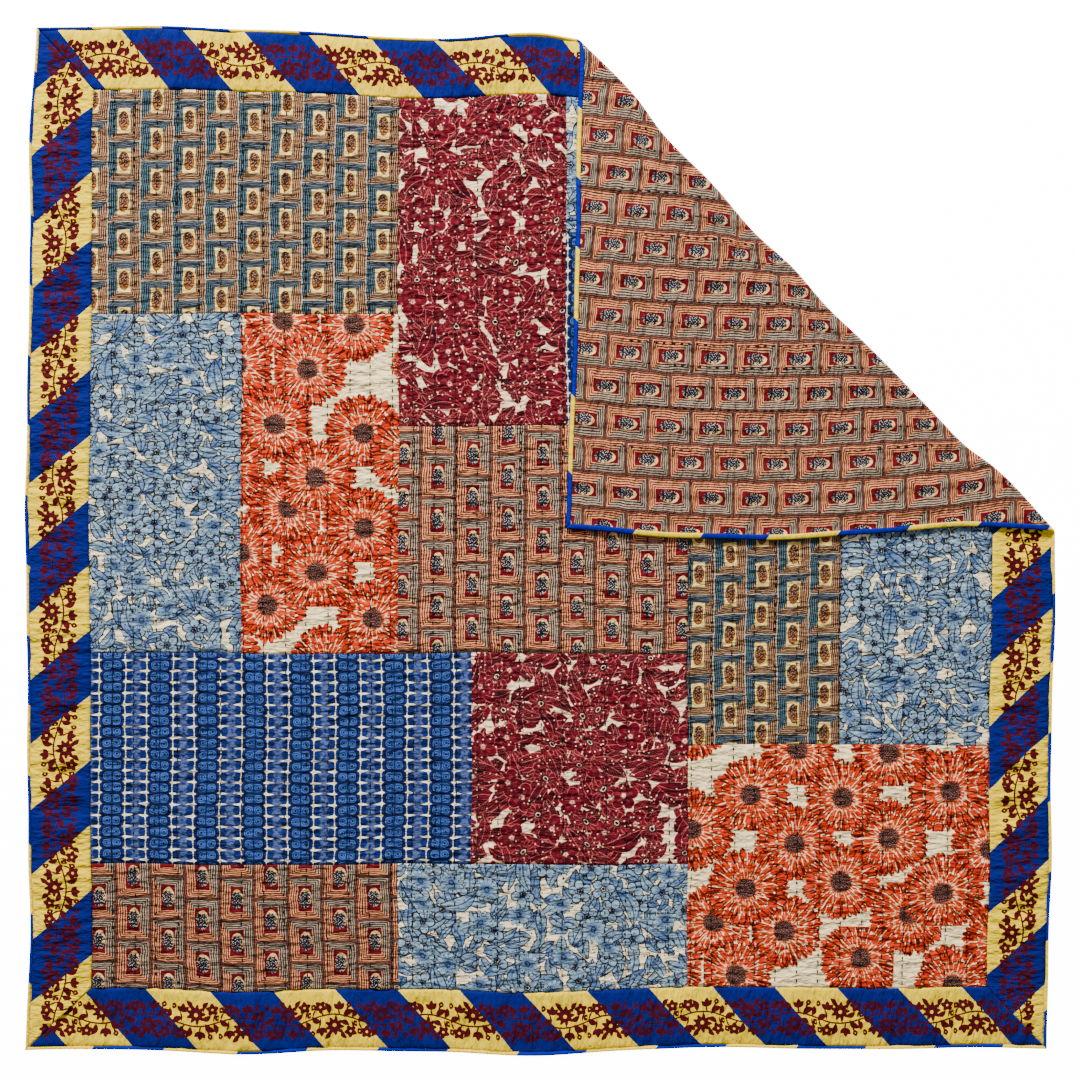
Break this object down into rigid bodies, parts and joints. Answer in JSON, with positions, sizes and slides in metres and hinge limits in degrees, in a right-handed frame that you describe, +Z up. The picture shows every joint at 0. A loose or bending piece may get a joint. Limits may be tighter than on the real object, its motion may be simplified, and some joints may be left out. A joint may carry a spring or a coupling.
{
  "type": "patchwork quilt",
  "caption": "Square patchwork quilt lying flat, with mitred striped borders, channel quilting, narrow binding and one corner folded over to show its backing.",
  "frame": {"origin": "middle of the quilt's footprint, on the surface that it lies on", "axes": "+Z up, out of the patchwork front; +Y towards the edge at the top of the picture; +X towards the edge with the folded corner"},
  "size_m": [2.323, 2.323, 0.015],
  "materials": {
    "patchwork": "printed cotton patches, matt, sewn with dark running stitches",
    "border": "matt cotton in blue and yellow bias stripes with a maroon vine print",
    "backing": "matt printed cotton in peach, grey and red",
    "binding": "matt cotton in blue and yellow stripes"
  },
  "bodies": {
    "root": {"patchwork_centre": "patchwork", "border_top": "border", "border_right": "border", "border_bottom": "border", "border_left": "border", "backing": "backing", "binding_top": "binding", "binding_right": "binding", "binding_bottom": "binding", "binding_left": "binding"}
  },
  "joints": []
}
